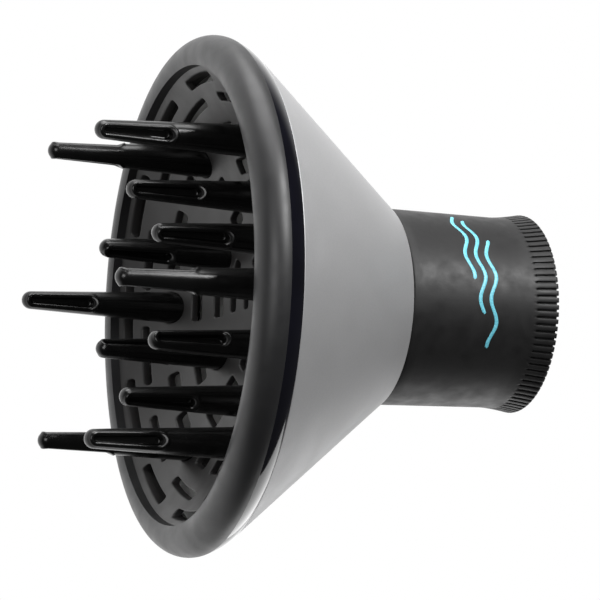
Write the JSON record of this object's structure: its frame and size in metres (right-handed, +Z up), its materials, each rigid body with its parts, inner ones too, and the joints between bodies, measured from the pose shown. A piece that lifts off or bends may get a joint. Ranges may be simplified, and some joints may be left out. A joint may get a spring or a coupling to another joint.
{
  "type": "hair dryer diffuser",
  "caption": "Bowl-shaped air diffuser with a vented, dished finger plate, turning on a ribbed rubber collar that grips a hair dryer's nozzle.",
  "frame": {"origin": "centre of the collar's mouth, on the bore's axis", "axes": "+Y along the bore and out of its mouth, towards the dryer; the fingers point along -Y; +Z up"},
  "size_m": [0.15, 0.1406, 0.15],
  "materials": {
    "rubber": "matte silicone rubber",
    "nylon": "matte moulded nylon",
    "steel": "bright zinc-plated",
    "silver_paint": "satin silver paint",
    "gloss_black": "high gloss",
    "satin_black": "satin",
    "plate_black": "satin",
    "finger_black": "semi-gloss"
  },
  "bodies": {
    "grip": {"collar": "rubber", "adapter_sleeve": "nylon", "snap_ring": "steel"},
    "bowl": {"bowl_shell": "silver_paint", "gloss_band": "gloss_black", "rim_bumper": "satin_black", "finger_plate": "plate_black", "outer_finger_1": "finger_black", "outer_finger_2": "finger_black", "outer_finger_3": "finger_black", "outer_finger_4": "finger_black", "outer_finger_5": "finger_black", "outer_finger_6": "finger_black", "inner_finger_1": "finger_black", "inner_finger_2": "finger_black", "inner_finger_3": "finger_black", "inner_finger_4": "finger_black", "inner_finger_5": "finger_black", "inner_finger_6": "finger_black", "air_deflector": "nylon", "deflector_screw": "steel"}
  },
  "joints": [
    {"name": "bowl_swivel", "type": "hinge", "parent": "grip", "child": "bowl", "pos_m": [0, -0.0514, 0], "axis": [0, 1, 0], "continuous": true}
  ]
}
